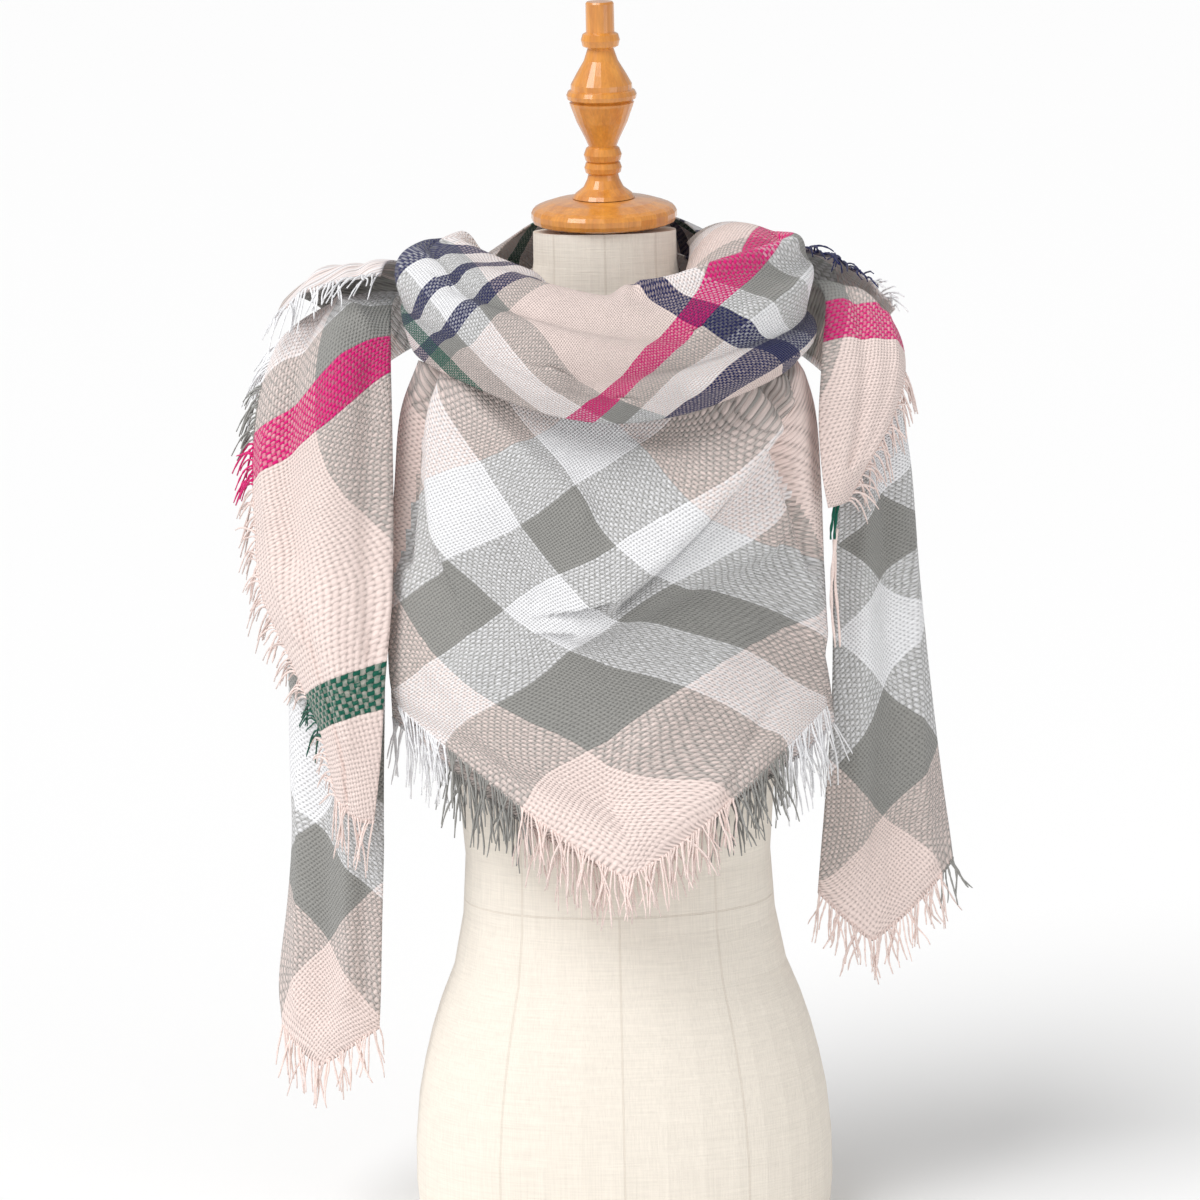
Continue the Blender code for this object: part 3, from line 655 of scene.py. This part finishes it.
def new_mesh(name, points, faces, material):
    mesh = bpy.data.meshes.new(name)
    mesh.from_pydata((np.asarray(points) * MM).tolist(), [], faces)
    mesh.polygons.foreach_set("use_smooth", [True] * len(mesh.polygons))
    mesh.materials.append(material)
    thing = bpy.data.objects.new(name, mesh)
    bpy.context.scene.collection.objects.link(thing)
    return thing


def cloth(node, surface, rows, folds, cut, down, across, material, tucks):
    """A thin shell on the form of a CAD stretch, with its creases and its place in the cut cloth."""
    s, t = np.meshgrid(np.linspace(0, 1, down + 1), np.linspace(0, 1, across + 1), indexing="ij")
    grid = surface(rows, s, t)
    size = [line_length(grid[:, across // 2]), line_length(grid[down // 2])]
    run_down, run_across = np.gradient(grid, axis=0), np.gradient(grid, axis=1)
    normal = unit(np.cross(run_down, run_across))
    moved = relief(folds, size, s, t)
    for column, way in enumerate((normal, unit(run_down), unit(run_across))):
        grid = grid + way * moved[..., column, None]
    number = np.arange((down + 1) * (across + 1)).reshape(down + 1, across + 1)
    upper, lower = number[:-1], number[1:]
    faces = np.stack([upper[:, :-1], lower[:, :-1], lower[:, 1:], upper[:, 1:]], -1).reshape(-1, 4)
    thing = new_mesh("cloth_" + node, grid.reshape(-1, 3), faces.tolist(), material)
    places = cut_places(cut, s, t)
    middle_s, middle_t = (grown[:-1, :-1] + grown[1:, 1:] for grown in (s / 2, t / 2))
    hidden = hidden_in_tucks(tucks, middle_s, middle_t).reshape(-1, 1, 2)
    layer = thing.data.uv_layers.new(name="cut")
    layer.data.foreach_set("uv", ((places.reshape(-1, 2)[faces] + hidden) * MM).reshape(-1))
    wall = thing.modifiers.new("wall", "SOLIDIFY")
    wall.thickness = CLOTH_WALL * MM
    wall.offset = -1
    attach(thing, "root")
    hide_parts(node)
    return Sheet(thing, grid, places, normal)


def rim_of(sheet, edge, start, end):
    """The rim's points, the points a little inside it, their places in the cut and their normals."""
    inside = {"hem": max(2, len(sheet.grid) // HEM_STEPS), "side": max(2, sheet.grid.shape[1] // SIDE_STEPS)}
    pick = {
        "hem": lambda a: (a[-1], a[-1 - inside["hem"]]),
        "left": lambda a: (a[:, 0], a[:, inside["side"]]),
        "right": lambda a: (a[:, -1], a[:, -1 - inside["side"]]),
    }[edge]
    rim, inner = pick(sheet.grid)
    part = slice(round(start * (len(rim) - 1)), round(end * (len(rim) - 1)) + 1)
    cut, normal = pick(sheet.cut)[0], pick(sheet.normal)[0]
    return rim[part], inner[part], cut[part], normal[part]


def strand(path, radius, twist):
    """The rings of a tapered two-ply yarn end along a path."""
    along = unit(np.gradient(path, axis=0))
    side = unit(np.cross(along, CROSSWISE))
    up = np.cross(along, side)
    k = np.linspace(0, 1, len(path))[:, None]
    turn = np.linspace(0, 2 * math.pi, STRAND_SIDES, endpoint=False)[None, :]
    swell = radius * (1 - STRAND_TAPER * k**3) * (1 + STRAND_PLY * np.cos(2 * (turn - twist * k)))
    ring = np.cos(turn)[..., None] * side[:, None] + np.sin(turn)[..., None] * up[:, None]
    return path[:, None] + swell[..., None] * ring


def strand_mesh(name, paths, radii, colours, material):
    """One object of many strands, each with its own yarn's colour at its points."""
    rng = np.random.default_rng(STRAND_SEED)
    points, faces, shades = [], [], []
    for path, radius, colour in zip(paths, radii, colours):
        rings = strand(path, radius, 9 + 4 * rng.random())
        base = sum(len(p) for p in points)
        count, sides = rings.shape[:2]
        points.append(rings.reshape(-1, 3))
        for ring in range(count - 1):
            for side in range(sides):
                low = base + ring * sides
                beside = (side + 1) % sides
                faces.append((low + side, low + beside, low + sides + beside, low + sides + side))
        faces.append(tuple(base + side for side in reversed(range(sides))))
        faces.append(tuple(base + (count - 1) * sides + side for side in range(sides)))
        shades += [(*colour, 1.0)] * (count * sides)
    thing = new_mesh(name, np.concatenate(points), faces, material)
    yarn = thing.data.color_attributes.new("yarn", "FLOAT_COLOR", "POINT")
    yarn.data.foreach_set("color", np.ravel(shades))
    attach(thing, "root")
    return thing


def fringe(node, sheet, material, edge, start, end, sag, seed):
    """Loose yarn ends past one edge of a stretch, uneven in length, lean and curl."""
    rng = np.random.default_rng(seed)
    rim, inner, cut, normal = rim_of(sheet, edge, start, end)
    far = np.concatenate([[0], np.cumsum(np.linalg.norm(np.diff(rim, axis=0), axis=1))])
    count = max(4, int(far[-1] / STRAND_SPACING))
    at = (np.arange(count) + 0.5 + rng.uniform(-0.3, 0.3, count)) / count * far[-1]
    rim, inner, cut, normal = (
        np.stack([np.interp(at, far, column) for column in line.T], -1) for line in (rim, inner, cut, normal)
    )
    away = unit(rim - inner)
    beside = unit(np.gradient(rim, axis=0))
    paths, radii, colours = [], [], []
    k = np.linspace(0, 1, STRAND_RINGS)[:, None]
    clump = 0.35 * np.sin(np.arange(count) * 0.9 + seed) + rng.normal(0, 0.16, count)
    for n in range(count):
        length = FRINGE_REACH * rng.uniform(0.72, 1.18)
        lean = away[n] + beside[n] * clump[n] + normal[n] * rng.uniform(-0.02, 0.30)
        path = rim[n] - away[n] * ROOT + unit(lean) * (length + ROOT) * k
        path = path + np.array([0, 0, -sag]) * length * k**2 * rng.uniform(0.7, 1.2)
        curl = rng.uniform(0.6, 2.4) * np.sin(k * rng.uniform(3, 7) + rng.uniform(0, 6)) * k
        path = path + beside[n] * curl + normal[n] * curl * 0.4
        a, b = cut[n]
        paths.append(path)
        radii.append(STRAND_RADIUS * rng.uniform(0.8, 1.15))
        yarn = yarn_at(WEFT, b) if a <= b else yarn_at(WARP, a)
        colours.append(np.array(yarn) * rng.uniform(0.9, 1.08))
    thing = strand_mesh("yarn_ends_" + node, paths, radii, colours, material)
    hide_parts(node)
    return thing


def loose_strands(material):
    """The green and the pink yarn that hang from the right flap's lower end."""
    down = np.linspace(0, 1, 16)[:, None]
    places = [
        ((169, -62, 588), 40, "green"),
        ((172, -61, 586), 48, "green"),
        ((169, -61, 548), 84, "pink"),
        ((172, -60, 556), 92, "pink"),
    ]
    paths = []
    for count, (top, length, _) in enumerate(places):
        sway = np.concatenate([1.6 * np.sin(down * 5 + count), np.cos(down * 4 + count), -length * down], 1)
        paths.append(np.array(top) + sway)
    colours = [np.array(linear(YARNS[yarn])) for _, _, yarn in places]
    thing = strand_mesh("loose_yarn", paths, [LOOSE_RADIUS] * len(places), colours, material)
    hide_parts("right_strand")


# Each stretch: how its surface runs, its tables, and the steps of its grid down and across.
STRETCHES = [
    ("bib_front", hanging_surface, BIB_FRONT, BIB_FOLDS, BIB_CUT, 190, 190),
    ("bib_under", hanging_surface, BIB_UNDER, UNDER_FOLDS, UNDER_CUT, 60, 80),
    ("cowl_front", roll_surface, COWL_FRONT, COWL_FOLDS, COWL_CUT, 230, 110),
    ("nape_under", collar_surface, NAPE_UNDER, [], NAPE_UNDER_CUT, 80, 40),
    ("nape_over", collar_surface, NAPE_OVER, NAPE_FOLDS, NAPE_OVER_CUT, 120, 60),
    ("left_shoulder_layer", hanging_surface, LEFT_SHOULDER_LAYER, LAYER_FOLDS, LEFT_LAYER_CUT, 50, 36),
    ("left_tail_flap", hanging_surface, LEFT_TAIL_FLAP, LEFT_FLAP_FOLDS, LEFT_FLAP_CUT, 130, 54),
    ("left_tail_long", hanging_surface, LEFT_TAIL_LONG, LEFT_LONG_FOLDS, LEFT_LONG_CUT, 120, 54),
    ("right_shoulder_layer", hanging_surface, RIGHT_SHOULDER_LAYER, LAYER_FOLDS, RIGHT_LAYER_CUT, 40, 40),
    ("right_tail_flap", hanging_surface, RIGHT_TAIL_FLAP, RIGHT_FLAP_FOLDS, RIGHT_FLAP_CUT, 100, 40),
    ("right_tail_long", hanging_surface, RIGHT_TAIL_LONG, RIGHT_LONG_FOLDS, RIGHT_LONG_CUT, 110, 54),
]
# Each fringe: its stretch, the edge it is on, the shares of that edge where it starts and ends, and its sag.
FRINGES = [
    ("fringe_bib_front", "bib_front", "hem", 0, 1, 0.25),
    ("fringe_bib_under", "bib_under", "hem", 0, 1, 0.45),
    ("fringe_left_shoulder", "left_shoulder_layer", "hem", 0, 1, 0.45),
    ("fringe_left_flap_side", "left_tail_flap", "left", 0.12, 1, 0.7),
    ("fringe_left_flap_hem", "left_tail_flap", "hem", 0, 1, 0.45),
    ("fringe_left_long", "left_tail_long", "hem", 0, 1, 0.2),
    ("fringe_right_shoulder", "right_shoulder_layer", "hem", 0, 1, 0.45),
    ("fringe_right_flap_side", "right_tail_flap", "right", 0.5, 1, 0.6),
    ("fringe_right_long", "right_tail_long", "hem", 0, 1, 0.2),
    ("fringe_nape_over", "nape_over", "right", 0.22, 0.8, 0.45),
    ("fringe_nape_under", "nape_under", "right", 0.22, 0.78, 0.45),
]


def scarf():
    plaid, yarn = plaid_material(), fringe_material()
    sheets, ends = {}, {}
    for node, surface, rows, folds, cut, down, across in STRETCHES:
        tucks = BIB_TUCKS if node == "bib_front" else []
        sheets[node] = cloth(node, surface, rows, folds, cut, down, across, plaid, tucks)
        ends[node] = []
    for seed, (node, stretch, edge, start, end, sag) in enumerate(FRINGES, 1):
        ends[stretch].append(fringe(node, sheets[stretch], yarn, edge, start, end, sag, seed))
    loose_strands(yarn)


def dress_form(nodes):
    linen, wood = linen_material(), wood_material()
    looks = {"form_torso": (linen, "linen"), "neck_cap": (wood, "honey_wood"), "finial": (wood, "honey_wood")}
    for node, (material, slot) in looks.items():
        nodes[node].data.materials.clear()
        nodes[node].data.materials.append(material)


# ---------------------------------------------------------------- studio


def floor():
    half = FLOOR_HALF
    mesh = bpy.data.meshes.new("floor")
    corners = [(-half, -half, 0), (half, -half, 0), (half, half, 0), (-half, half, 0)]
    mesh.from_pydata(corners, [], [(0, 1, 2, 3)])
    m = Shader("pale floor")
    m.put(m.surface.inputs["Base Color"], (0.94, 0.94, 0.94, 1))
    mesh.materials.append(m.finish(Roughness=0.9, Specular_IOR_Level=0.1))
    thing = bpy.data.objects.new("floor", mesh)
    bpy.context.scene.collection.objects.link(thing)


def fill_light():
    place, aim = Vector((2.0, -2.2, 1.0)), Vector((0, 0, 0.55))
    light = bpy.data.lights.new("fill", "AREA")
    light.shape = "DISK"
    light.size = 1.5
    light.energy = FILL_WATTS
    thing = bpy.data.objects.new("fill", light)
    thing.location = place
    thing.rotation_euler = (aim - place).to_track_quat("-Z", "Y").to_euler()
    bpy.context.scene.collection.objects.link(thing)


def studio():
    world = bpy.data.worlds.new("studio")
    world.use_nodes = True
    world.node_tree.nodes["Background"].inputs["Color"].default_value = (1, 1, 1, 1)
    world.node_tree.nodes["Background"].inputs["Strength"].default_value = WORLD_LIGHT
    bpy.context.scene.world = world
    bpy.context.scene.view_settings.view_transform = "Standard"
    broad = bpy.data.lights.new("broad soft light", "SUN")
    broad.energy = SUN_LIGHT
    broad.angle = math.radians(40)
    thing = bpy.data.objects.new("broad soft light", broad)
    thing.rotation_euler = Vector((0.62, 0.55, -0.95)).to_track_quat("-Z", "Y").to_euler()
    bpy.context.scene.collection.objects.link(thing)
    fill_light()


def camera():
    target, distance, seen = Vector((0, 0, 0.495)), 3.2, 0.936
    elevation, roll, shift = math.radians(9), math.radians(-1.24), -0.0104
    data = bpy.data.cameras.new("camera")
    data.sensor_width = 36
    data.lens = data.sensor_width * distance / seen
    data.shift_x = shift
    thing = bpy.data.objects.new("camera", data)
    back = Vector((0, -math.cos(elevation), math.sin(elevation)))
    thing.location = target + back * distance
    thing.rotation_mode = "QUATERNION"
    thing.rotation_quaternion = (-back).to_track_quat("-Z", "Y") @ Quaternion((0, 0, 1), roll)
    bpy.context.scene.collection.objects.link(thing)
    bpy.context.scene.camera = thing


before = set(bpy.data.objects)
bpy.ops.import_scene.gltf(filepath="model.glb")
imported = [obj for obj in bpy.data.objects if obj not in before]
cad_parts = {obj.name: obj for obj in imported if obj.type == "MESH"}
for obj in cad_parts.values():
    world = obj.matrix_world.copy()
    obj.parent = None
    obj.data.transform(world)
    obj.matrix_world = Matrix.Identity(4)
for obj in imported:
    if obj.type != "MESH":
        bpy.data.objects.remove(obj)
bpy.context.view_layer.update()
dress_form(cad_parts)
scarf()
floor()
studio()
camera()
